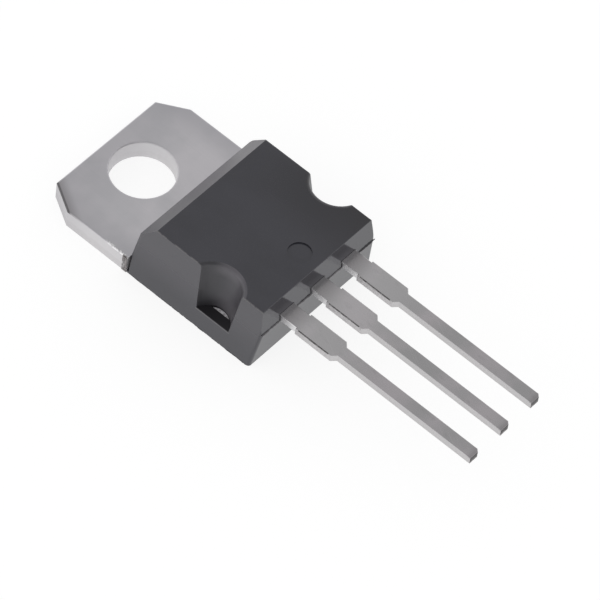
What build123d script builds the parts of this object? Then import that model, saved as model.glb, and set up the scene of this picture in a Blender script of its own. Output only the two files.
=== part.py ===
"""Three-lead flat-tab power transistor, millimetres.

A stamped copper frame carries the silicon chip. Epoxy is moulded round the chip,
the bond wires and the inner ends of the leads, and leaves the frame's back bare.

Frame: the origin is the centre of the mounting hole on the bare back face. +Z comes
out of the top face, the leads run towards -Y, and X is the width.
"""
import os
from math import radians, tan

from build123d import *

# ---------------------------------------------------------------- copper frame
tab_width = 10.14
tab_thickness = 1.30
hole_diameter = 3.86
hole_to_tab_end = 2.77          # hole centre to the free end of the tab
tab_corner_across = 1.03        # cropped corners of the free end, across and along
tab_corner_along = 1.77
hole_to_shoulder = 3.50         # hole centre to where the tab narrows to the header
header_width = 8.40
header_end_cover = 1.27         # epoxy past the header, at the lead end
edge_roll = 0.10                # rounding that the stamping leaves on the tab's top edges
header_coin_across = 0.30       # bevel struck along the header's sides, across and down
header_coin_down = 0.12
tie_bar_length = 0.33           # sheared stub of the bar that held the frames together
tie_bar_proud = 0.03
tie_bar_to_shoulder = 0.02

# ----------------------------------------------------------------------- leads
lead_pitch = 2.54
lead_top = 3.19                 # top face of the leads above the back face
lead_thickness = 0.48
root_width = 1.14
root_reach = 1.12               # from the epoxy to the dam-bar shoulder
dam_width = 1.34
dam_length = 2.55
dam_taper = 0.26
lead_width = 0.776
lead_reach = 13.38              # from the epoxy to the lead's tip
tip_corner = 0.15
shoulder_round = 0.06
lead_roll = 0.05                # rounding on the leads' top edges
ramp_angle = 65.0               # slope of the centre lead, from the header up to its level

# ----------------------------------------------------- inner ends of the leads
post_width = 1.96
post_length = 1.00
post_inset = 0.45               # epoxy between the lead end of the body and the post
post_corner = 0.25

# --------------------------------------------------------- chip and bond wires
chip_size = 3.20
chip_thickness = 0.25
hole_to_chip = 8.20
solder_thickness = 0.05
solder_margin = 0.18            # how far the solder's foot spreads past the chip
base_wire_diameter = 0.20
emitter_wire_diameter = 0.38
wire_foot = 0.35                # half the length of a wedge-bonded foot
wire_rise = 0.28                # loop height above the posts
wire_climb_angle = 42.0         # steepness of the loop where it leaves the chip
wire_drop_angle = 22.0          # and where it comes down to the post
wire_bend = 0.35                # radius of the loop's bends
bond_squash = 0.25              # share of its diameter that a foot loses in bonding
base_bond = (-1.05, 0.0)        # first bonds on the chip, across and along from its centre
emitter_bond = (0.75, 0.10)

# ---------------------------------------------------------------- moulded body
body_height = 4.47
body_top_width = 8.92
side_draft = 7.45
hole_to_body = 3.49             # hole centre to the epoxy wall, on top of the tab
tab_wall_draft = 7.3
slope_height = 3.25             # where the wall turns into the long sloped band
slope_run = 1.08
shoulder_gap = 0.12             # slit between the tab's shoulder and the epoxy beside the header
gap_floor = 0.12                # the epoxy closes the slit's bottom with a thin web
hole_to_lead_end = 12.80        # hole centre to the parting line at the lead end
parting_step = 0.03             # the bottom mould half stands this far out at the lead end
top_mould_draft = 7.3
bottom_mould_draft = 6.1
body_corner_round = 0.20
body_top_round = 0.05

# Pins of the mould hold the header down at both sides and leave half-round notches.
notch_radius = 1.66             # at the top face, before its rim is rounded
notch_draft = 8.0
notch_rim_round = 0.20
notch_sill_round = 0.04
notch_past_header = 1.00        # from the header's side to the notch's centre
hole_to_notch = 9.555
ejector_radius = 0.70
ejector_depth = 0.09
hole_to_ejector = 11.24
lead_exit_gap = 0.03            # hairline that the cooling epoxy leaves round each lead
lead_exit_depth = 0.20

near = 0.01                     # tolerance for picking edges and vertices by place

# --------------------------------------------------------------- derived places
tab_end = hole_to_tab_end
shoulder = -hole_to_shoulder
lead_end = -hole_to_lead_end
header_end = lead_end + header_end_cover
header_side = header_width / 2
lead_bottom = lead_top - lead_thickness
root_end = lead_end - root_reach
dam_end = root_end - dam_length
tip = lead_end - lead_reach
chip_bottom = tab_thickness + solder_thickness
chip_top = chip_bottom + chip_thickness
lead_centres = {"base_lead": -lead_pitch, "collector": 0.0, "emitter_lead": lead_pitch}


def slab(face, bottom, top):
    """Extrude a plan face between two heights."""
    return extrude(Pos(0, 0, bottom) * face, top - bottom)


def across(face, width):
    """Extrude a face drawn as (y, z) to both sides of the centre plane."""
    return extrude(Plane.YZ * face, width / 2, both=True)


def roll_top_edges(plate, radius, keep):
    """Round the kept top edges of a stamped plate, as the punch leaves them."""
    top_edges = plate.faces().sort_by(Axis.Z)[-1].edges()
    return fillet(top_edges.filter_by(keep), radius)


def blade_face(centre, inner_end):
    """Plan of one lead from inner_end to its tip: root, dam-bar length, narrow leg."""
    root = root_width / 2
    dam = dam_width / 2
    leg = lead_width / 2
    leg_start = dam_end - dam_taper
    dam_corners = [(dam, root_end), (dam, dam_end)]
    right = [(root, inner_end), (root, root_end), *dam_corners, (leg, leg_start), (leg, tip)]
    left = [(-x, y) for x, y in reversed(right)]
    face = make_face(Polyline(*right, *left, close=True))
    shoulders = face.vertices().filter_by(lambda v: leg_start - near < v.Y < dam_end + near)
    face = fillet(shoulders, shoulder_round)
    tip_vertex = face.vertices().sort_by(Axis.Y)[:2].sort_by(Axis.X)[-1]
    return Pos(centre, 0, 0) * chamfer(tip_vertex, tip_corner)


def collector_frame():
    """Tab, header and centre lead, all one stamping."""
    half = tab_width / 2
    right = [(half - tab_corner_across, tab_end), (half, tab_end - tab_corner_along), (half, shoulder)]
    left = [(-x, y) for x, y in reversed(right)]
    tab_face = make_face(Polyline(*right, *left, close=True)) - Circle(hole_diameter / 2)
    tab = roll_top_edges(slab(tab_face, 0, tab_thickness), edge_roll, lambda e: (e @ 0.5).Y > shoulder + near)
    bevel_foot = tab_thickness - header_coin_down
    bevel_top = header_side - header_coin_across
    half_section = [(header_side, 0), (header_side, bevel_foot), (bevel_top, tab_thickness)]
    other_half = [(-x, z) for x, z in reversed(half_section)]
    header_section = make_face(Polyline(*half_section, *other_half, close=True))
    frame = tab + extrude(Plane.XZ.offset(hole_to_shoulder) * header_section, shoulder - header_end)

    stub_face = Rectangle(tab_width + 2 * tie_bar_proud, tie_bar_length)
    stub_place = Pos(0, shoulder + tie_bar_to_shoulder + tie_bar_length / 2)
    stub_core = Rectangle(tab_width - 2 * edge_roll, tie_bar_length)
    frame += slab(stub_place * (stub_face - stub_core), 0, tab_thickness - edge_roll)

    # The lead leaves the header's end at the header's top level and climbs to the outer leads' level.
    low = tab_thickness - lead_thickness
    ramp_end = header_end - (lead_bottom - low) / tan(radians(ramp_angle))
    bend_shift = lead_thickness * tan(radians(ramp_angle / 2))
    upper_bend = ramp_end + bend_shift
    lower_bend = header_end + bend_shift
    underside = [(header_end, low), (ramp_end, lead_bottom), (lead_end, lead_bottom)]
    upside = [(lead_end, lead_top), (upper_bend, lead_top), (lower_bend, tab_thickness), (lower_bend, low)]
    ramp_face = make_face(Polyline(*underside, *upside, close=True))
    frame += across(ramp_face, root_width)
    return frame + lead_blade(lead_centres["collector"])


def lead_blade(centre):
    """The bare part of a lead, from the parting line out."""
    blade = slab(blade_face(centre, lead_end), lead_bottom, lead_top)
    return roll_top_edges(blade, lead_roll, lambda e: (e @ 0.5).Y < lead_end - near)


def outer_lead(centre):
    """Base or emitter lead: the blade outside, and a flat post inside for the bond wire."""
    post_end = lead_end + post_inset
    post_middle = post_end + post_length / 2
    post_face = Pos(centre, post_middle) * RectangleRounded(post_width, post_length, post_corner)
    neck_face = Pos(centre, (lead_end + post_middle) / 2) * Rectangle(root_width, post_middle - lead_end)
    return slab(post_face + neck_face, lead_bottom, lead_top) + lead_blade(centre)


def silicon_chip():
    """Square chip; its back is the collector."""
    plan = Pos(0, -hole_to_chip) * Rectangle(chip_size, chip_size)
    return slab(plan, chip_bottom, chip_top)


def chip_solder():
    """Thin solder bed whose sides slope out from under the chip."""
    foot = chip_size + 2 * solder_margin
    lower = Pos(0, -hole_to_chip, tab_thickness) * Rectangle(foot, foot)
    upper = Pos(0, -hole_to_chip, chip_bottom) * Rectangle(chip_size, chip_size)
    return loft([lower, upper])


def bond_wire(diameter, start, lead_centre, seats):
    """Aluminium wire from the chip to a lead's post, its feet flattened on both seats."""
    radius = diameter / 2
    sink = bond_squash * diameter
    first = Vector(start[0], start[1] - hole_to_chip, chip_top + radius - sink)
    last = Vector(lead_centre, lead_end + post_inset + post_length / 2, lead_top + radius - sink)
    ahead = Vector(last.X - first.X, last.Y - first.Y, 0).normalized()
    crest = lead_top + wire_rise
    climb = Vector(0, 0, crest - first.Z) + ahead * ((crest - first.Z) / tan(radians(wire_climb_angle)))
    drop = Vector(0, 0, crest - last.Z) - ahead * ((crest - last.Z) / tan(radians(wire_drop_angle)))
    foot = ahead * wire_foot
    points = [first - foot, first + foot, first + foot + climb, last - foot + drop, last - foot, last + foot]
    path = FilletPolyline(*points, radius=wire_bend)
    wire = sweep(Plane(path @ 0, z_dir=path % 0) * Circle(radius), path)
    for seat in seats:
        wire -= seat
    return wire


def body_block():
    """The epoxy block before its notches and inserts, drafted on every side."""
    wall_run = (slope_height - tab_thickness) * tan(radians(tab_wall_draft))
    wall_foot = -hole_to_body
    lower_wall = shoulder - shoulder_gap
    top_run = (body_height - lead_bottom) * tan(radians(top_mould_draft))
    bottom_run = lead_bottom * tan(radians(bottom_mould_draft))
    outline = [
        (shoulder, 0), (shoulder, gap_floor), (lower_wall, gap_floor), (lower_wall, tab_thickness),
        (wall_foot, tab_thickness), (wall_foot - wall_run, slope_height),
        (wall_foot - wall_run - slope_run, body_height), (lead_end + parting_step + top_run, body_height),
        (lead_end + parting_step, lead_bottom), (lead_end, lead_bottom), (lead_end + bottom_run, 0),
    ]
    bottom_half = body_top_width / 2 + body_height * tan(radians(side_draft))
    top_half = body_top_width / 2
    section = [(-bottom_half, 0), (bottom_half, 0), (top_half, body_height), (-top_half, body_height)]
    side_view = across(make_face(Polyline(*outline, close=True)), 2 * bottom_half)
    end_view = extrude(Plane.XZ * make_face(Polyline(*section, close=True)), hole_to_lead_end)
    return side_view & end_view


def notch_cutter(side):
    """Drafted mould pin that stood on the header, with the fillet at its root.

    The pin's toe presses on the header's bevel, so the bevel stays bare in the notch.
    """
    height = body_height - tab_thickness
    axis = Pos(header_side + notch_past_header, 0)
    foot_radius = notch_radius - height * tan(radians(notch_draft))
    upright = (Align.CENTER, Align.CENTER, Align.MIN)
    mould_face = Pos(0, 0, height) * Cylinder(2 * notch_radius, notch_radius, align=upright)
    pin = Cone(foot_radius, notch_radius, height, align=upright) + mould_face
    root = pin.edges().filter_by(GeomType.CIRCLE).filter_by(lambda e: abs(e.radius - notch_radius) < near)
    bevel = Pos(header_side - header_coin_across / 2, 0) * Rectangle(header_coin_across, 2 * foot_radius)
    toe = slab(bevel & axis * Circle(foot_radius), -header_coin_down, 0)
    pin = Pos(0, -hole_to_notch, tab_thickness) * (axis * fillet(root, notch_rim_round) + toe)
    return pin if side > 0 else mirror(pin, Plane.YZ)


def exit_relief(centre):
    """Hairline round a lead where it leaves the epoxy."""
    width = root_width + 2 * lead_exit_gap
    height = lead_thickness + 2 * lead_exit_gap
    place = Pos(centre, lead_end, (lead_top + lead_bottom) / 2)
    return place * Box(width, 2 * lead_exit_depth, height)


def is_corner(edge):
    """One of the block's upright corner edges, at either end."""
    rise = abs((edge @ 1).Z - (edge @ 0).Z)
    return rise > tab_thickness and (edge @ 0.5).Z < slope_height


def is_notch_sill(edge):
    """Outer edge of a notch's floor, on the body's side face."""
    middle = edge @ 0.5
    on_floor = abs(middle.Z - tab_thickness) < near and abs(middle.Y + hole_to_notch) < near
    return on_floor and abs(middle.X) > header_side + near and edge.geom_type == GeomType.LINE


def moulded_body(inserts):
    """Epoxy with the notches, the ejector's mark and an exact cavity round every insert."""
    body = body_block()
    body = fillet(body.edges().filter_by(is_corner), body_corner_round)
    body = fillet(body.faces().sort_by(Axis.Z)[-1].edges(), body_top_round)
    for side in (-1, 1):
        body -= notch_cutter(side)
    body = fillet(body.edges().filter_by(is_notch_sill), notch_sill_round)
    ejector_place = Pos(0, -hole_to_ejector, body_height - ejector_depth / 2)
    body -= ejector_place * Cylinder(ejector_radius, ejector_depth)
    for centre in lead_centres.values():
        body -= exit_relief(centre)
    for insert in inserts:
        body -= insert
    return body


frame = collector_frame()
base = outer_lead(lead_centres["base_lead"])
emitter = outer_lead(lead_centres["emitter_lead"])
chip = silicon_chip()
solder = chip_solder()
base_wire = bond_wire(base_wire_diameter, base_bond, -lead_pitch, [chip, base])
emitter_wire = bond_wire(emitter_wire_diameter, emitter_bond, lead_pitch, [chip, emitter])

pieces = {
    "collector_frame": frame,
    "base_lead": base,
    "emitter_lead": emitter,
    "silicon_chip": chip,
    "chip_solder": solder,
    "base_bond_wire": base_wire,
    "emitter_bond_wire": emitter_wire,
}
pieces["moulded_body"] = moulded_body(list(pieces.values()))

os.makedirs("parts", exist_ok=True)
for name, piece in pieces.items():
    export_step(piece, f"parts/{name}.step")
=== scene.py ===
import math

import bpy
from mathutils import Matrix, Vector, noise


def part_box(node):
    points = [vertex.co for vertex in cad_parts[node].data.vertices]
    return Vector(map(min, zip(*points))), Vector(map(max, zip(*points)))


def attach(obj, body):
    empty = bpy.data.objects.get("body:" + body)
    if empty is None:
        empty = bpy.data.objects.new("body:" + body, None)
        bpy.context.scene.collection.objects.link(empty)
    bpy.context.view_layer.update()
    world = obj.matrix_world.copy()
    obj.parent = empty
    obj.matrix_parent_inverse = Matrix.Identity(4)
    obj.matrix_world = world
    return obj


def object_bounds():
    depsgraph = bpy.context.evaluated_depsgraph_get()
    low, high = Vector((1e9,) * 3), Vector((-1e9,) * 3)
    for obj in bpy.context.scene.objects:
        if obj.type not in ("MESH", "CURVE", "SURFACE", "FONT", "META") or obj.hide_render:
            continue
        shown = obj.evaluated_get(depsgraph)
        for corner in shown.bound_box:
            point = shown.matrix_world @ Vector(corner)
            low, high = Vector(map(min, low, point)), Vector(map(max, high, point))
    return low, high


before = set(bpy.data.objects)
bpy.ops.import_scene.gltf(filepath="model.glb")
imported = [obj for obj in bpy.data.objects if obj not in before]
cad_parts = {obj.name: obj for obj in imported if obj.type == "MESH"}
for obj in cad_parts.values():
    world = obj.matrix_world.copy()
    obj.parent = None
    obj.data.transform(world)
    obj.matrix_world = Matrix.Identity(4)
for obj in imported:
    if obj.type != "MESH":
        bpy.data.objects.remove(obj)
cad_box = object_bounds()

# ------------------------------------------------------------- the copper frame and leads
# Tab, header and middle lead are one stamping of rolled copper strip, and the base and
# emitter leads come from the thin part of the same strip. All are dull tin plated in a
# bath after moulding, so the plate is blotched and covers the punched walls too.
mm = 0.001
tab_half = 5.07
tab_thickness = 1.30
tab_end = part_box("collector_frame")[1][1] / mm
hole_radius = 1.93
shoulder = -3.50
cropped_across = 1.03
cropped_along = 1.77
lead_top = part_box("base_lead")[1][2] / mm
lead_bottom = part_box("base_lead")[0][2] / mm
parting_line = -12.80
root_end = -13.92
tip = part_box("collector_frame")[0][1] / mm

tab_tin = {"Dark": (0.60, 0.595, 0.62), "Light": (0.74, 0.715, 0.745)}
lead_tin = {"Dark": (0.445, 0.447, 0.449), "Light": (0.612, 0.573, 0.599)}
# Near white tin, used only as a painted highlight.
painted_highlight_tin = (0.95, 0.94, 0.95)
bright_tin = (0.73, 0.718, 0.728)
# Darker tin, also used for painted shade.
darker_tin = (0.42, 0.415, 0.445)
# Worn tin, also used for painted shade and a painted reflection.
wear_and_shade_tin = (0.30, 0.285, 0.295)
# Painted shade tone.
painted_shade_dark = (0.075, 0.073, 0.074)


def feed(tree, node, sockets):
    """Sets each named socket of a node to a value, or links it to another socket."""
    for name, value in sockets.items():
        if isinstance(value, bpy.types.NodeSocket):
            tree.links.new(value, node.inputs[name])
        else:
            node.inputs[name].default_value = value


def add(tree, kind, sockets=None, **settings):
    """A new shader node with its settings and its sockets."""
    made = tree.nodes.new("ShaderNode" + kind)
    for name, value in settings.items():
        setattr(made, name, value)
    feed(tree, made, sockets or {})
    return made


def maths(tree, operation, first, second=0.0):
    return add(tree, "Math", {0: first, 1: second}, operation=operation).outputs[0]


def plus(tree, first, second):
    return maths(tree, "ADD", first, second)


def less(tree, first, second):
    return maths(tree, "SUBTRACT", first, second)


def times(tree, *factors):
    product = factors[0]
    for factor in factors[1:]:
        product = maths(tree, "MULTIPLY", product, factor)
    return product


def larger(tree, first, second):
    return maths(tree, "MAXIMUM", first, second)


def unsigned(tree, value):
    return maths(tree, "ABSOLUTE", value)


def axes(tree, vector):
    """The X, Y and Z of a vector."""
    return add(tree, "SeparateXYZ", {0: vector}).outputs


def rise(tree, value, low, high):
    """0 below low, 1 above high and a soft step between; low may be the larger, for a fall."""
    step = {"Value": value, "From Min": low, "From Max": high}
    return add(tree, "MapRange", step, interpolation_type="SMOOTHSTEP").outputs["Result"]


def within(tree, value, low, high, soft):
    """1 where value lies between low and high, with soft borders."""
    up = rise(tree, value, low - soft, low + soft)
    down = rise(tree, value, high + soft, high - soft)
    return times(tree, up, down)


def opaque(colour):
    return (*colour, 1.0)


def mix(tree, share, first, second):
    """Colour that goes from first to second as share goes from 0 to 1."""
    colours = {0: share, 6: first, 7: second}
    return add(tree, "Mix", colours, data_type="RGBA").outputs[2]


def coat(tree, under, over, *shares):
    """Lays the plain colour over on the colour under, as densely as all the shares allow."""
    return mix(tree, times(tree, *shares), under, opaque(over))


def mix_number(tree, share, first, second):
    numbers = {0: share, 2: first, 3: second}
    return add(tree, "Mix", numbers, data_type="FLOAT").outputs[0]


def cloud(tree, place, per_mm, stretch=(1, 1, 1), detail=2.0):
    """Soft noise of about per_mm grains a millimetre, drawn out along an axis of small stretch."""
    spacing = tuple(per_mm * along for along in stretch)
    spread = add(tree, "VectorMath", {0: place, 1: spacing}, operation="MULTIPLY").outputs[0]
    noise_sockets = {"Vector": spread, "Scale": 1.0, "Detail": detail}
    return add(tree, "TexNoise", noise_sockets).outputs["Fac"]


def start_group(name, inputs, outputs):
    """A shader node group with its named sockets, and its two end nodes."""
    group = bpy.data.node_groups.new(name, "ShaderNodeTree")
    for way, sockets in (("INPUT", inputs), ("OUTPUT", outputs)):
        for socket, kind in sockets.items():
            group.interface.new_socket(socket, in_out=way, socket_type="NodeSocket" + kind)
    given = group.nodes.new("NodeGroupInput").outputs
    return group, given, group.nodes.new("NodeGroupOutput")


def use(tree, group, sockets):
    """Places a group in a material with this material's own values."""
    placed = tree.nodes.new("ShaderNodeGroup")
    placed.node_tree = group
    feed(tree, placed, sockets)
    return placed.outputs


def start_finish(name):
    """A material, its node tree, its Principled shader, and the place on the part in mm."""
    material = bpy.data.materials.new(name)
    material.use_nodes = True
    tree = material.node_tree
    corner = add(tree, "TexCoord").outputs["Object"]
    place = add(tree, "VectorMath", {0: corner, "Scale": 1 / mm}, operation="SCALE").outputs[0]
    return material, tree, tree.nodes["Principled BSDF"], place


def emboss(tree, shader, height, depth):
    """Drives the shader's normal with a bump whose full height is depth millimetres."""
    relief = {"Height": height, "Distance": depth * mm, "Strength": 1.0}
    feed(tree, shader, {"Normal": add(tree, "Bump", relief).outputs["Normal"]})


# Bath plated tin: blotches, grains of about a twentieth of a millimetre, rolling lines.
blotch_levels = (0.36, 0.66)
blotch_roughness = 0.10
rolled_lengthwise = (15, 0.22, 15)
tin_plate, given, end = start_group(
    "tin_plate",
    {"Place": "Vector", "Dark": "Color", "Light": "Color", "Blotch": "Float",
     "Least Roughness": "Float"},
    {"Colour": "Color", "Roughness": "Float", "Height": "Float"},
)
blotches = cloud(tin_plate, given["Place"], per_mm=0.42, detail=3.0)
grains = cloud(tin_plate, given["Place"], per_mm=17.0)
lines = cloud(tin_plate, given["Place"], per_mm=1.0, stretch=rolled_lengthwise, detail=3.0)
worked = times(tin_plate, plus(tin_plate, grains, lines), 0.5)
blotched = times(tin_plate, rise(tin_plate, blotches, *blotch_levels), given["Blotch"])
even = times(tin_plate, worked, less(tin_plate, 1.0, given["Blotch"]))
rougher = times(tin_plate, blotches, blotch_roughness)
feed(tin_plate, end, {
    "Colour": mix(tin_plate, plus(tin_plate, blotched, even), given["Dark"], given["Light"]),
    "Roughness": plus(tin_plate, given["Least Roughness"], rougher),
    "Height": worked,
})

# Punched wall: the punch drags fine upright lines down a bright upper zone, and the metal
# below it breaks off with a rougher face.
flat_facing = 0.85
wall_facing = 0.35
break_depth = (0.66, 0.78)
break_wander = 0.30
punched_wall, given, end = start_group(
    "punched_wall",
    {"Place": "Vector", "Bottom": "Float", "Top": "Float"},
    {"Wall": "Float", "Torn": "Float", "Height": "Float"},
)
facing = axes(punched_wall, add(punched_wall, "NewGeometry").outputs["Normal"])["Z"]
upright = rise(punched_wall, unsigned(punched_wall, facing), flat_facing, wall_facing)
below_top = less(punched_wall, given["Top"], axes(punched_wall, given["Place"])["Z"])
wall_height = less(punched_wall, given["Top"], given["Bottom"])
depth = maths(punched_wall, "DIVIDE", below_top, wall_height)
wander = cloud(punched_wall, given["Place"], per_mm=2.2, stretch=(1, 1, 0.1))
break_line = plus(punched_wall, depth, times(punched_wall, wander, break_wander))
torn = times(punched_wall, rise(punched_wall, break_line, *break_depth), upright)
drag = cloud(punched_wall, given["Place"], per_mm=20.0, stretch=(1, 1, 0.04), detail=3.0)
crumbs = cloud(punched_wall, given["Place"], per_mm=13.0, stretch=(1, 1, 0.6), detail=3.0)
dragged = times(punched_wall, drag, upright)
feed(punched_wall, end, {
    "Wall": upright,
    "Torn": torn,
    "Height": plus(punched_wall, dragged, times(punched_wall, torn, crumbs)),
})

# Copper laid bare by a cut after plating: grey-brown tarnish with a little pink metal and
# many smears of tin.
tarnished_copper = (0.10, 0.094, 0.097)
pink_copper = (0.34, 0.315, 0.315)
smeared_tin = (0.48, 0.47, 0.475)
tarnish_levels = (0.35, 0.62)
smear_levels = (0.46, 0.60)
copper_roughness = 0.38
smear_roughness = 0.25
bare_copper, given, end = start_group(
    "bare_copper",
    {"Place": "Vector"},
    {"Colour": "Color", "Roughness": "Float", "Height": "Float"},
)
tears = cloud(bare_copper, given["Place"], per_mm=9.0, detail=4.0)
smears = cloud(bare_copper, given["Place"], per_mm=5.0, stretch=(1, 1, 0.5), detail=3.0)
pinker = rise(bare_copper, tears, *tarnish_levels)
tarnish = mix(bare_copper, pinker, opaque(tarnished_copper), opaque(pink_copper))
feed(bare_copper, end, {
    "Colour": coat(bare_copper, tarnish, smeared_tin, rise(bare_copper, smears, *smear_levels)),
    "Roughness": plus(bare_copper, copper_roughness, times(bare_copper, smears, smear_roughness)),
    "Height": tears,
})

plated_strip, tree, shader, place = start_finish("plated_strip")
x, y, z = axes(tree, place)
aside = unsigned(tree, x)

# The thin part of the strip took a darker, smoother plate than the tab, which shifts
# between green and pink grey.
blotch_share = 0.5
tab_roughness = 0.33
smoother_lead = 0.17
bend_margin = 0.1
on_lead = rise(tree, z, tab_thickness + bend_margin, lead_bottom - bend_margin)
on_tab = less(tree, 1.0, on_lead)
plating = {
    "Place": place,
    "Blotch": blotch_share,
    "Least Roughness": less(tree, tab_roughness, times(tree, on_lead, smoother_lead)),
}
for tone in ("Dark", "Light"):
    plating[tone] = mix(tree, on_lead, opaque(tab_tin[tone]), opaque(lead_tin[tone]))
plate = use(tree, tin_plate, plating)

# Hair-fine handling scratches run askew in patches, and show a little more on the leads.
scratched_tin = (0.86, 0.85, 0.86)
scratch_turn = 0.5
scratch_share = 0.08
more_on_lead = 0.05
hair_levels = (0.66, 0.72)
patch_levels = (0.45, 0.60)
turning = {"Vector": place, "Angle": scratch_turn}
turned = add(tree, "VectorRotate", turning, rotation_type="Z_AXIS").outputs[0]
hairs = cloud(tree, turned, per_mm=1.0, stretch=(24, 0.35, 24), detail=1.0)
patches = cloud(tree, place, per_mm=0.5, detail=1.0)
scratch = times(tree, rise(tree, hairs, *hair_levels), rise(tree, patches, *patch_levels))
scratch_shows = plus(tree, scratch_share, times(tree, on_lead, more_on_lead))
colour = coat(tree, plate["Colour"], scratched_tin, scratch, scratch_shows)

# The bath left faint stains on the leads, and a brighter plate on their wide part.
stain_levels = (0.60, 0.70)
stain_share = 0.18
wide_part = (-19.5, -15.5)
wide_share = 0.36
stains = cloud(tree, place, per_mm=2.6, stretch=(1, 0.5, 1), detail=3.0)
colour = coat(tree, colour, wear_and_shade_tin, rise(tree, stains, *stain_levels), on_lead, stain_share)
colour = coat(tree, colour, bright_tin, rise(tree, y, *wide_part), on_lead, wide_share)

# The tab is painted darker towards its long edges, painted shade of its rolled edges, and the
# roots of the leads are painted darker, a painted reflection of the dark body, apart from the last
# bit beside the body.
edge_shade_across = (3.2, 4.9)
edge_shade_share = 0.38
body_reflection_from = (-14.6, -13.0)
beside_body = (-12.75, -13.25)
body_reflection_share = 0.70
colour = coat(tree, colour, darker_tin, rise(tree, aside, *edge_shade_across), on_tab, edge_shade_share)
body_reflection = times(tree, rise(tree, y, *body_reflection_from), rise(tree, y, *beside_body))
colour = coat(tree, colour, wear_and_shade_tin, body_reflection, on_lead, body_reflection_share)

# Punched walls took a plain plate, greyer on the leads and where the metal broke off.
lead_wall_tin = (0.585, 0.575, 0.58)
torn_tin = (0.50, 0.48, 0.48)
wall_share = 0.85
torn_share = 0.15
wall_roughness = 0.2
wall = use(tree, punched_wall, {
    "Place": place,
    "Bottom": times(tree, on_lead, lead_bottom),
    "Top": plus(tree, tab_thickness, times(tree, on_lead, lead_top - tab_thickness)),
})
wall_tin = mix(tree, on_lead, opaque(bright_tin), opaque(lead_wall_tin))
colour = mix(tree, times(tree, wall["Wall"], wall_share), colour, wall_tin)
colour = coat(tree, colour, torn_tin, wall["Torn"], torn_share)

# The roots' walls are painted near white, a painted highlight.
at_root = within(tree, y, root_end, parting_line, soft=0.03)
colour = coat(tree, colour, painted_highlight_tin, at_root, wall["Wall"], on_lead)

# The tab is darker towards its free end. The punch pulled the rim down along the left
# cropped corner, where its shade is painted, with a painted shadow line at the very edge.
# The wall of the hole is painted brighter, a painted highlight.
free_end_from = -1.5
free_end_share = 0.35
roll_shade_reach = (0.75, -0.05)
roll_shade_depth = (tab_thickness - 0.12, tab_thickness - 0.08)
roll_shade_share = 0.65
shadow_line_reach = (0.14, 0.06)
shadow_line_depth = (tab_thickness - 0.13, tab_thickness - 0.10)
shadow_line_share = 0.7
left_hand = (2.0, -2.0)
under_leads = (tab_thickness + 0.4, tab_thickness + 0.2)
hole_wall = (hole_radius + 0.02, hole_radius + 0.01)
hole_highlight_share = 0.22
slope = math.hypot(cropped_across, cropped_along)
past_corner = times(tree, less(tree, tab_half - cropped_across, aside), cropped_along / slope)
short_of_end = times(tree, less(tree, tab_end, y), cropped_across / slope)
from_cut = plus(tree, past_corner, short_of_end)
at_left = times(tree, rise(tree, x, *left_hand), rise(tree, z, *under_leads))
roll_shade = times(tree, rise(tree, from_cut, *roll_shade_reach), rise(tree, z, *roll_shade_depth))
shadow_line = times(tree, rise(tree, from_cut, *shadow_line_reach), rise(tree, z, *shadow_line_depth))
flattened = add(tree, "VectorMath", {0: place, 1: (1, 1, 0)}, operation="MULTIPLY").outputs[0]
from_axis = add(tree, "VectorMath", {0: flattened}, operation="LENGTH").outputs["Value"]
by_end = rise(tree, y, free_end_from, tab_end)
colour = coat(tree, colour, darker_tin, by_end, free_end_share)
colour = coat(tree, colour, wear_and_shade_tin, roll_shade, at_left, roll_shade_share)
colour = coat(tree, colour, painted_shade_dark, shadow_line, at_left, shadow_line_share)
colour = coat(tree, colour, painted_highlight_tin, rise(tree, from_axis, *hole_wall), hole_highlight_share)

# The pins of the mould scuffed the header's bevels, which lie bare in the body's notches.
bevel_across = (3.85, 4.25)
bevel_along = (-10.9, -8.2)
scuff_levels = (0.46, 0.56)
scuff_share = 0.7
on_bevel = times(tree, within(tree, aside, *bevel_across, soft=0.02),
                 within(tree, y, *bevel_along, soft=0.05))
scuffs = rise(tree, cloud(tree, place, per_mm=8.0, detail=3.0), *scuff_levels)
colour = coat(tree, colour, wear_and_shade_tin, on_bevel, scuffs, scuff_share)

# A speckled painted highlight lies on the tab's left long top edge beside the shoulder.
glint_across = (-4.90, -5.00)
glint_up = (1.16, 1.20)
glint_along = (-3.45, -1.9)
tab_glint_levels = (0.42, 0.55)
by_edge = times(tree, rise(tree, x, *glint_across), rise(tree, z, *glint_up),
                within(tree, y, *glint_along, soft=0.3))
tab_edge_glints = rise(tree, cloud(tree, place, per_mm=7.0), *tab_glint_levels)
colour = coat(tree, colour, painted_highlight_tin, by_edge, tab_edge_glints)

# The tie bars beside the tab and the tips of the leads were sheared off after plating. The
# shear pulled the plate over at the tips; the upper part of their cut faces is painted shade.
pulled_along = (tip + 0.45, tip)
pulled_up = (lead_top - 0.12, lead_top - 0.04)
pulled_share = 0.55
tie_bar_across = (tab_half - 0.06, tab_half - 0.02)
tie_bar_along = (shoulder + 0.01, shoulder + 0.36)
tip_face = (tip + 0.012, tip + 0.004)
tip_shade_up = (lead_bottom, lead_bottom + 0.2)
tip_shade_share = 0.9
pulled = times(tree, rise(tree, y, *pulled_along), rise(tree, z, *pulled_up))
colour = coat(tree, colour, wear_and_shade_tin, pulled, pulled_share)
copper = use(tree, bare_copper, {"Place": place})
tie_bar = times(tree, rise(tree, aside, *tie_bar_across),
                within(tree, y, *tie_bar_along, soft=0.02))
bare = larger(tree, tie_bar, rise(tree, y, *tip_face))
tip_shade = rise(tree, z, *tip_shade_up)
sheared_and_shaded = coat(tree, copper["Colour"], painted_shade_dark, tip_shade, tip_shade_share)

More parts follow.
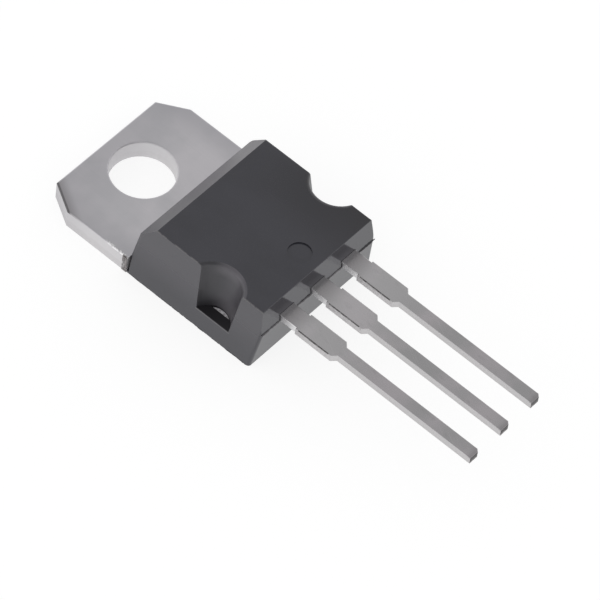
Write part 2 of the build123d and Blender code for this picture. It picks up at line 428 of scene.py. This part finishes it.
# Scratches are cut into the plate's relief, and the sheared copper is far rougher.
relief_depth = 0.0025
scratch_depth = 0.2
sheared_relief = 10.0
rough_plate = plus(tree, plate["Roughness"], times(tree, wall["Wall"], wall_roughness))
relief = less(tree, plus(tree, plate["Height"], wall["Height"]),
              times(tree, scratch, scratch_depth))
relief = plus(tree, relief, times(tree, copper["Height"], times(tree, bare, sheared_relief)))
feed(tree, shader, {
    "Base Color": mix(tree, bare, colour, sheared_and_shaded),
    "Roughness": mix_number(tree, bare, rough_plate, copper["Roughness"]),
    "Metallic": 1.0,
})
emboss(tree, shader, relief, relief_depth)
for node in ("collector_frame", "base_lead", "emitter_lead"):
    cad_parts[node].data.materials[0] = plated_strip

# ---------------------------------------------------------------------------- chip solder
# The film of soft solder that holds the chip on the header and carries its heat away. It
# was melted under the chip in one drop: grey, wavy and half bright.
solder_dark = (0.34, 0.34, 0.36)
solder_light = (0.62, 0.62, 0.64)
solder_roughness = 0.22
wave_roughness = 0.3
wave_depth = 0.01
soft_solder, tree, shader, place = start_finish("soft_solder")
waves = cloud(tree, place, per_mm=2.4, detail=3.0)
feed(tree, shader, {
    "Base Color": mix(tree, waves, opaque(solder_dark), opaque(solder_light)),
    "Roughness": plus(tree, solder_roughness, times(tree, waves, wave_roughness)),
    "Metallic": 1.0,
})
emboss(tree, shader, waves, wave_depth)
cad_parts["chip_solder"].data.materials[0] = soft_solder

# ----------------------------------------------------------------------- the silicon chip
# Polished silicon with comb-like aluminium contacts on top: the fingers of the two
# contacts lie side by side, and a plain frame of oxide runs round the edge.
chip_low, chip_high = (Vector(corner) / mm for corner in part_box("silicon_chip"))
finger_pitch = 0.26
finger_edge = (0.039, 0.051)
oxide_frame = 0.22
contact_up = (chip_high.z - 0.02, chip_high.z - 0.01)
contact_depth = 0.006
contact_metal = (0.70, 0.70, 0.72)
oxide_dark = (0.035, 0.04, 0.055)
oxide_light = (0.06, 0.065, 0.08)
oxide_roughness = 0.08
contact_roughness = 0.22
metallised_silicon, tree, shader, place = start_finish("metallised_silicon")
x, y, z = axes(tree, place)
fingers = rise(tree, maths(tree, "PINGPONG", x, finger_pitch / 2), *finger_edge)
inside_x = within(tree, x, chip_low.x + oxide_frame, chip_high.x - oxide_frame, soft=0.01)
inside_y = within(tree, y, chip_low.y + oxide_frame, chip_high.y - oxide_frame, soft=0.01)
metal = times(tree, fingers, inside_x, inside_y, rise(tree, z, *contact_up))
sheen = cloud(tree, place, per_mm=6.0)
oxide = mix(tree, sheen, opaque(oxide_dark), opaque(oxide_light))
feed(tree, shader, {
    "Base Color": coat(tree, oxide, contact_metal, metal),
    "Roughness": plus(tree, oxide_roughness, times(tree, metal, contact_roughness)),
    "Metallic": metal,
})
emboss(tree, shader, metal, contact_depth)
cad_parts["silicon_chip"].data.materials[0] = metallised_silicon

# ------------------------------------------------------------------------- the bond wires
# Two wires of drawn aluminium from the chip to the posts of the outer leads, bonded cold
# at both ends with a wedge: bright, with lines from the die and a frosty skin.
wire_dark = (0.66, 0.66, 0.68)
wire_light = (0.84, 0.84, 0.86)
wire_roughness = 0.26
frost_roughness = 0.2
wire_relief = 0.003
drawn_aluminium, tree, shader, place = start_finish("drawn_aluminium")
die_lines = cloud(tree, place, per_mm=1.0, stretch=(30, 1.5, 30))
frost = cloud(tree, place, per_mm=26.0)
feed(tree, shader, {
    "Base Color": mix(tree, die_lines, opaque(wire_dark), opaque(wire_light)),
    "Roughness": plus(tree, wire_roughness, times(tree, frost, frost_roughness)),
    "Metallic": 1.0,
})
emboss(tree, shader, plus(tree, die_lines, frost), wire_relief)
for node in ("base_bond_wire", "emitter_bond_wire"):
    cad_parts[node].data.materials[0] = drawn_aluminium

# ----------------------------------------------------------------------- the moulded body
# Black epoxy with a fine mineral filler, moulded round everything in one shot. The mould
# is spark eroded, so the skin is a satin grain with a few filler specks, and duller from
# the mould's bottom half.
epoxy_dark = (0.027, 0.027, 0.034)
epoxy_light = (0.034, 0.034, 0.043)
filler_speck = (0.07, 0.067, 0.07)
# Painted shade black.
painted_shade_black = (0.010, 0.009, 0.011)
# Painted light on the notch walls.
notch_wall_light = (0.085, 0.08, 0.092)
# Painted edge highlight grey.
painted_edge_highlight = (0.13, 0.125, 0.13)
# Painted light grey.
painted_light_grey = (0.15, 0.14, 0.155)
body_grain = 0.0012
epoxy_refraction = 1.76
epoxy_glint = (0.96, 0.955, 1.0)
side_at_back = 5.045
side_slope = 0.1308
notch_axis = (5.20, -9.555)
notch_reach = 1.92

flow_levels = (0.34, 0.66)
flow_roughness = 0.012
skin_roughness = 0.15
speck_levels = (0.70, 0.76)
speck_share = 0.35
halves_meet = (lead_bottom + 0.3, lead_bottom - 0.3)
moulded_skin, given, end = start_group(
    "moulded_skin",
    {"Place": "Vector", "Dark": "Color", "Light": "Color"},
    {"Colour": "Color", "Roughness": "Float", "Bottom Half": "Float", "Height": "Float"},
)
sparks = cloud(moulded_skin, given["Place"], per_mm=11.0)
flow = cloud(moulded_skin, given["Place"], per_mm=0.35, stretch=(1, 0.6, 1), detail=3.0)
specks = cloud(moulded_skin, given["Place"], per_mm=19.0, detail=0.0)
specks = rise(moulded_skin, specks, *speck_levels)
plain = mix(moulded_skin, rise(moulded_skin, flow, *flow_levels), given["Dark"], given["Light"])
feed(moulded_skin, end, {
    "Colour": coat(moulded_skin, plain, filler_speck, specks, speck_share),
    "Roughness": plus(moulded_skin, skin_roughness, times(moulded_skin, flow, flow_roughness)),
    "Bottom Half": rise(moulded_skin, axes(moulded_skin, given["Place"])["Z"], *halves_meet),
    "Height": sparks,
})


def start_epoxy(name, dark, light, grain):
    """A finish of moulded epoxy in the given tones, with its relief but no wear as yet."""
    material, tree, shader, place = start_finish(name)
    tones = {"Place": place, "Dark": opaque(dark), "Light": opaque(light)}
    skin = use(tree, moulded_skin, tones)
    feed(tree, shader, {"IOR": epoxy_refraction, "Specular Tint": opaque(epoxy_glint)})
    emboss(tree, shader, skin["Height"], grain)
    return material, tree, shader, place, skin


moulded_epoxy, tree, shader, place, skin = start_epoxy(
    "moulded_epoxy", epoxy_dark, epoxy_light, body_grain)
x, y, z = axes(tree, place)
aside = unsigned(tree, x)
inside_by = (0.005, 0.02)
side_face = less(tree, side_at_back, times(tree, z, side_slope))
inside = rise(tree, less(tree, side_face, aside), *inside_by)
on_side = less(tree, 1.0, inside)

# The pins that form the notches wear the fastest, so their walls are duller. On the lead
# side the wall is painted grey as painted light, lighter low down, with a painted highlight at
# the lip; on the tab side it is painted black as painted shadow, and so is the ledge as painted
# shade.
pin_reach = (notch_reach ** 2, (notch_reach - 0.1) ** 2)
ledge_up = (tab_thickness + 0.02, tab_thickness + 0.1)
lead_side_of_pin = (notch_axis[1] + 1.0, notch_axis[1] - 0.7)
tab_side_share = 0.8
lighter_low_down = (3.0, 1.5)
lip_up = (3.6, 4.2)
lip_along = (-0.8, 0.8)
lip_share = 0.5
across_pin = less(tree, aside, notch_axis[0])
along_pin = less(tree, y, notch_axis[1])
from_pin = plus(tree, maths(tree, "POWER", across_pin, 2.0), maths(tree, "POWER", along_pin, 2.0))
by_pin = times(tree, rise(tree, from_pin, *pin_reach), inside)
on_wall = times(tree, by_pin, rise(tree, z, *ledge_up))
on_ledge = less(tree, by_pin, on_wall)
lead_side = rise(tree, y, *lead_side_of_pin)
tab_side = less(tree, 1.0, lead_side)
at_lip = times(tree, within(tree, along_pin, *lip_along, soft=0.4), rise(tree, z, *lip_up))
notch_lighter = larger(tree, times(tree, lead_side, rise(tree, z, *lighter_low_down)),
              times(tree, at_lip, lip_share))
colour = coat(tree, skin["Colour"], notch_wall_light, on_wall, lead_side)
colour = coat(tree, colour, painted_shade_black, on_wall, tab_side, tab_side_share)
colour = coat(tree, colour, painted_light_grey, on_wall, notch_lighter)
colour = coat(tree, colour, painted_shade_black, on_ledge)

# The sloped band by the tab is painted lighter as painted light, more towards the emitter's
# side, and the drafted sides are painted lighter towards the top as painted light.
band_along = (-4.84, -4.80)
band_up = (3.20, 3.26)
band_lighter_across = (-9.0, 3.0)
band_lighter_levels = (-0.6, 0.8)
band_lighter_share = 0.84
side_lighter_up = (0.7, 2.8)
side_lighter_share = 0.30
on_band = times(tree, rise(tree, y, *band_along), rise(tree, z, *band_up), inside)
band_lighter = rise(tree, cloud(tree, place, per_mm=9.0), *band_lighter_levels)
band_lighter = times(tree, rise(tree, x, *band_lighter_across), band_lighter, band_lighter_share)
colour = coat(tree, colour, painted_light_grey, on_band, band_lighter)
colour = coat(tree, colour, painted_light_grey, on_side, rise(tree, z, *side_lighter_up), side_lighter_share)

# The top face is painted blacker towards its corner by the emitter lead, as painted shade.
top_shade_across = (-0.5, 5.0)
top_shade_along = (-5.0, -10.0)
top_face_up = (4.44, 4.46)
top_shade_share = 0.9
top_shade = times(tree, rise(tree, x, *top_shade_across), rise(tree, y, *top_shade_along),
              rise(tree, z, *top_face_up))
colour = coat(tree, colour, painted_shade_black, top_shade, top_shade_share)

# The sills of the notches and the long top edges are painted grey, painted highlights on their
# rounded edges, speckled along the top edges.
sill_up = (tab_thickness - 0.08, tab_thickness - 0.005)
sill_along = (1.25, 1.2)
sill_across = (4.7, 4.75)
top_edge_up = (4.40, 4.43)
top_edge_across = (4.40, 4.42)
edge_glint_levels = (0.3, 0.6)
sill = times(tree, within(tree, z, *sill_up, soft=0.005),
             rise(tree, unsigned(tree, along_pin), *sill_along), rise(tree, aside, *sill_across))
top_edge = times(tree, rise(tree, z, *top_edge_up), rise(tree, aside, *top_edge_across))
body_edge_glints = rise(tree, cloud(tree, place, per_mm=3.0), *edge_glint_levels)
colour = coat(tree, colour, painted_edge_highlight, larger(tree, sill, times(tree, top_edge, body_edge_glints)))

# The duller skin is where the mould is rougher: its bottom half, its pins and the band.
bottom_half_dull = 0.16
notch_dull = 0.26
band_dull = 0.25
dull = larger(tree, times(tree, on_wall, notch_dull),
              times(tree, skin["Bottom Half"], bottom_half_dull))
dull = larger(tree, dull, times(tree, on_band, band_dull))
feed(tree, shader, {
    "Base Color": colour,
    "Roughness": plus(tree, skin["Roughness"], dull),
})
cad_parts["moulded_body"].data.materials[0] = moulded_epoxy

# ------------------------------------------------------------------------ the epoxy flash
# Where the mould halves meet, and where they close on the leads, a little epoxy creeps
# out and hardens as a ragged fin. Most of it breaks off. What stays is grey where it is
# thin as paper, and as black as the body where it is thicker.
lead_centres = {"base": -2.54, "collector": 0.0, "emitter": 2.54}
root_half = 0.57
root_clearance = 0.02
draft_to_parting = 0.34
fin_thickness = 0.03
fin_below = 0.01
fin_seat = 0.03
fin_lip = 0.002
fin_least = 0.004
fin_reach = 0.05
fin_seed = 3.7
fin_steps_per_mm = 26
thick_fin = 4
flash_grain = 0.003
thin_dark = (0.10, 0.094, 0.097)
thin_light = (0.17, 0.16, 0.165)
thick_dark = (0.026, 0.024, 0.026)
thick_light = (0.045, 0.042, 0.044)


def flash_finish(name, dark, light):
    material, tree, shader, _, skin = start_epoxy(name, dark, light, flash_grain)
    dull = times(tree, skin["Bottom Half"], bottom_half_dull)
    feed(tree, shader, {
        "Base Color": skin["Colour"],
        "Roughness": plus(tree, skin["Roughness"], dull),
    })
    return material


thin_epoxy = flash_finish("thin_epoxy", thin_dark, thin_light)
thick_epoxy = flash_finish("thick_epoxy", thick_dark, thick_light)


def closed_piece(name, rings, material):
    """Skins a row of rings, each a list of points in millimetres, and closes both ends."""
    count = len(rings[0])
    points = [Vector(point) * mm for ring in rings for point in ring]
    faces = [tuple(range(count))[::-1], tuple(range(len(points) - count, len(points)))]
    for row in range(len(rings) - 1):
        here = row * count
        for k in range(count):
            step = (k + 1) % count
            faces.append((here + k, here + step, here + count + step, here + count + k))
    mesh = bpy.data.meshes.new(name)
    mesh.from_pydata(points, [], faces)
    mesh.validate()
    mesh.materials.append(material)
    piece = bpy.data.objects.new(name, mesh)
    bpy.context.scene.collection.objects.link(piece)
    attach(piece, "root")


waves_per_mm = 1.3
wave_share = 0.7
flakes_per_mm = 6.0
flake_share = 0.5
flake_layer = 5.0


def ragged(along, seed):
    """A value from 0 to 1 that wanders in waves and small flakes, for torn and broken edges."""
    wave = noise.noise(Vector((along * waves_per_mm, seed, 0.0)))
    flake = noise.noise(Vector((along * flakes_per_mm, seed, flake_layer)))
    return min(1.0, max(0.0, 0.5 + wave_share * wave + flake_share * flake))


edge_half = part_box("moulded_body")[1][0] / mm - draft_to_parting
borders = [-edge_half]
for centre in lead_centres.values():
    borders += [centre - root_half - root_clearance, centre + root_half + root_clearance]
borders.append(edge_half)
inner = parting_line + fin_seat
for number, (left, right) in enumerate(zip(borders[::2], borders[1::2]), 1):
    steps = int((right - left) * fin_steps_per_mm)
    fin = []
    for step in range(steps + 1):
        x = left + (right - left) * step / steps
        reach = fin_least + fin_reach * ragged(x, fin_seed)
        fin.append([
            (x, inner, lead_bottom - fin_below),
            (x, inner, lead_bottom + fin_thickness),
            (x, parting_line - reach, lead_bottom + fin_lip),
        ])
    epoxy = thick_epoxy if number == thick_fin else thin_epoxy
    closed_piece(f"parting_fin_{number}", fin, epoxy)

# Along the bottom edges the epoxy crept between the mould and its base plate.
bottom_half = 5.03
bottom_from = -12.3
bottom_length = 8.6
bottom_steps = 180
bottom_least = 0.012
bottom_reach = 0.035
bottom_seed = 8.1
bottom_quickening = 1.5
bottom_root_up = 0.002
bottom_lip_up = 0.006
bottom_top_up = 0.045
bottom_top_in = 0.002
for side, hand in (("left", -1), ("right", 1)):
    fin = []
    for step in range(bottom_steps + 1):
        y = bottom_from + bottom_length * step / bottom_steps
        reach = bottom_least + bottom_reach * ragged(bottom_quickening * y, bottom_seed + hand)
        ring = [
            (hand * bottom_half, y, bottom_root_up),
            (hand * (bottom_half + reach), y, bottom_lip_up),
            (hand * (bottom_half - bottom_top_in), y, bottom_top_up),
        ]
        fin.append(ring if hand < 0 else ring[::-1])
    closed_piece(f"bottom_fin_{side}", fin, thick_epoxy)

# --------------------------------------------------------------------------- the cut bars
# The strip's dam bar joined the leads and held back the epoxy. It was sheared off after
# moulding, and both edges of every lead keep the torn face of the cut, bright below and
# dark and rough above.
dam_half = 0.67
dam_from = -13.95
dam_to = -16.44
cut_steps = 72
cut_levels = 9
cut_proud = 0.022
cut_least = 0.35
cut_slant = 3
cut_fade = 8
cut_seat_low = 0.06
cut_seat_top = 0.05
cut_above_bottom = 0.01
cut_below_top = 0.006
foot_share = 0.1
corner_rounding = 0.05
cut_top = {-1: 0.001, 1: -0.06}
smooth_cut = {"Dark": (0.50, 0.49, 0.495), "Light": (0.72, 0.70, 0.71)}
torn_cut = (0.09, 0.088, 0.09)
torn_cut_share = 0.6
torn_cut_up = (lead_bottom + 0.455, lead_bottom + 0.485)
torn_cut_wander = 0.08
torn_cut_levels = (0.0, 0.55)
cut_depth = 0.012

dam_bar_cut, tree, shader, place = start_finish("dam_bar_cut")
copper = use(tree, bare_copper, {"Place": place})
wander = times(tree, cloud(tree, place, per_mm=4.0), torn_cut_wander)
torn = rise(tree, plus(tree, axes(tree, place)["Z"], wander), *torn_cut_up)
torn = times(tree, torn, rise(tree, cloud(tree, place, per_mm=5.0), *torn_cut_levels))
streaks = cloud(tree, place, per_mm=9.0, stretch=(1, 0.5, 0.2))
smooth = mix(tree, streaks, opaque(smooth_cut["Dark"]), opaque(smooth_cut["Light"]))
rough = coat(tree, copper["Colour"], torn_cut, torn_cut_share)
feed(tree, shader, {
    "Base Color": mix(tree, torn, smooth, rough),
    "Roughness": copper["Roughness"],
    "Metallic": 1.0,
})
emboss(tree, shader, copper["Height"], cut_depth)

for lead, centre in lead_centres.items():
    for side, hand in (("left", -1), ("right", 1)):
        low = lead_bottom + cut_above_bottom
        top = lead_top + cut_top[hand]
        rings = []
        for step in range(cut_steps + 1):
            y = dam_from + (dam_to - dam_from) * step / cut_steps
            fade = min(1.0, cut_fade * step / cut_steps, cut_fade * (1 - step / cut_steps))
            ring = [(centre + hand * (dam_half - cut_seat_low), y, low)]
            for level in range(cut_levels + 1):
                z = low + (top - cut_below_top - low) * level / cut_levels
                tear = cut_least + (1 - cut_least) * ragged(y + cut_slant * z, centre + hand)
                proud = cut_proud * tear * fade * (foot_share if level == 0 else 1.0)
                if level == cut_levels and fade < 0.5:
                    proud -= corner_rounding
                ring.append((centre + hand * (dam_half + proud), y, z))
            ring.append((centre + hand * (dam_half - cut_seat_top), y, top))
            rings.append(ring if hand > 0 else ring[::-1])
        closed_piece(f"{lead}_dam_bar_cut_{side}", rings, dam_bar_cut)

# ------------------------------------------------------------------------------ the floor
# A pale board under the part. It glows white to the camera and in reflections, and is a
# plain grey-white for the light that falls on it, so the part's soft shadow shows.
floor_half = 0.6
floor_grey = (0.28, 0.28, 0.28)
floor_glow = 0.82
bpy.ops.mesh.primitive_plane_add(size=2 * floor_half, location=(0, 0, cad_box[0][2]))
floor = bpy.context.object
floor.name = "floor"
floor_board = bpy.data.materials.new("floor_board")
floor_board.use_nodes = True
tree = floor_board.node_tree
tree.nodes.remove(tree.nodes["Principled BSDF"])
paint = add(tree, "BsdfDiffuse", {"Color": opaque(floor_grey)})
path = add(tree, "LightPath").outputs
seen = larger(tree, path["Is Camera Ray"], path["Is Glossy Ray"])
seen = larger(tree, seen, path["Is Transmission Ray"])
glow = add(tree, "Emission", {"Strength": times(tree, seen, floor_glow)})
both = add(tree, "AddShader", {0: paint.outputs[0], 1: glow.outputs[0]})
feed(tree, tree.nodes["Material Output"], {"Surface": both.outputs[0]})
floor.data.materials.append(floor_board)

# ------------------------------------------------------------------------------ the light
# An even white tent round the part, as small bright metal needs. It is brighter round
# the sides than overhead.
side_light = 1.0
side_height = 0.25
overhead_light = 0.52
overhead_height = 0.8
tent = bpy.data.worlds.new("light_tent")
bpy.context.scene.world = tent
tent.use_nodes = True
tree = tent.node_tree
height_in_tent = axes(tree, add(tree, "TexCoord").outputs["Generated"])["Z"]
strength = add(tree, "MapRange", {
    "Value": height_in_tent,
    "From Min": side_height, "To Min": side_light,
    "From Max": overhead_height, "To Max": overhead_light,
})
white = {"Color": (1, 1, 1, 1), "Strength": strength.outputs["Result"]}
feed(tree, tree.nodes["Background"], white)

# ----------------------------------------------------------------------------- the camera
# A long lens on a stand, on the base lead's side and above the part, tipped a little to
# the left.
camera_azimuth = math.radians(-55.53)
camera_elevation = math.radians(53.655)
camera_roll = math.radians(8.74)
camera_distance = 0.30889
camera_lens = 339.87
aim = Vector((-0.000578, -0.012129, 0.0015))
away = Vector((
    math.sin(camera_azimuth) * math.cos(camera_elevation),
    -math.cos(camera_azimuth) * math.cos(camera_elevation),
    math.sin(camera_elevation),
))
camera_data = bpy.data.cameras.new("camera")
camera_data.lens = camera_lens
camera = bpy.data.objects.new("camera", camera_data)
bpy.context.scene.collection.objects.link(camera)
stand = Matrix.Translation(aim + away * camera_distance)
level = away.to_track_quat("Z", "Y").to_matrix().to_4x4()
camera.matrix_world = stand @ level @ Matrix.Rotation(camera_roll, 4, "Z")
bpy.context.scene.camera = camera
bpy.context.scene.view_settings.view_transform = "Standard"
